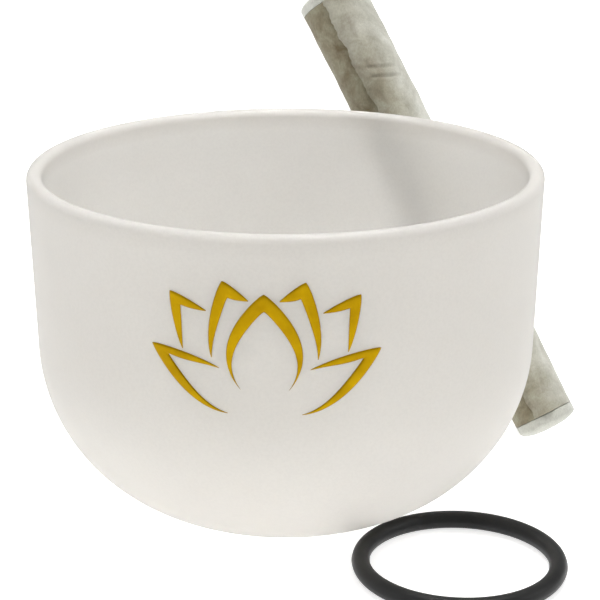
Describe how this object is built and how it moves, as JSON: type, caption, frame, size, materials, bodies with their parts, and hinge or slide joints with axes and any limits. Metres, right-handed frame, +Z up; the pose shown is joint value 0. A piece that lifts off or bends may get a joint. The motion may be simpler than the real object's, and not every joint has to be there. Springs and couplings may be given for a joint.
{
  "type": "singing bowl",
  "caption": "Frosted quartz singing bowl with a gold lotus, a suede-wrapped mallet leaning on its wall and a rubber ring to seat it.",
  "frame": {"origin": "centre of the bowl's flat base, on the surface it stands on", "axes": "+Z up along the bowl's axis; the lotus faces -Y; +X to the right of someone facing the lotus"},
  "size_m": [0.2264, 0.2592, 0.1915],
  "materials": {
    "frosted_quartz": "frosted",
    "gold_leaf": "satin",
    "black_rubber": "matte",
    "dowel_wood": "bare",
    "sleeve_rubber": "matte",
    "suede": "napped",
    "end_disc_suede": "napped"
  },
  "bodies": {
    "bowl": {"bowl_shell": "frosted_quartz", "lotus_petal_centre": "gold_leaf", "lotus_petal_inner_left": "gold_leaf", "lotus_petal_inner_right": "gold_leaf", "lotus_petal_middle_left": "gold_leaf", "lotus_petal_middle_right": "gold_leaf", "lotus_petal_outer_left": "gold_leaf", "lotus_petal_outer_right": "gold_leaf"},
    "mallet": {"mallet_core": "dowel_wood", "mallet_padding": "sleeve_rubber", "mallet_suede_wrap": "suede", "mallet_end_disc_top": "end_disc_suede", "mallet_end_disc_foot": "end_disc_suede"},
    "o_ring": {"o_ring": "black_rubber"}
  },
  "joints": [
    {"name": "mallet_lift", "type": "slide", "parent": "bowl", "child": "mallet", "axis": [-0.4416, 0.3705, 0.8171], "range_m": [0, 0.185]},
    {"name": "ring_slide", "type": "slide", "parent": "bowl", "child": "o_ring", "axis": [0.6743, -0.7385, 0], "range_m": [0, 0.06]}
  ]
}
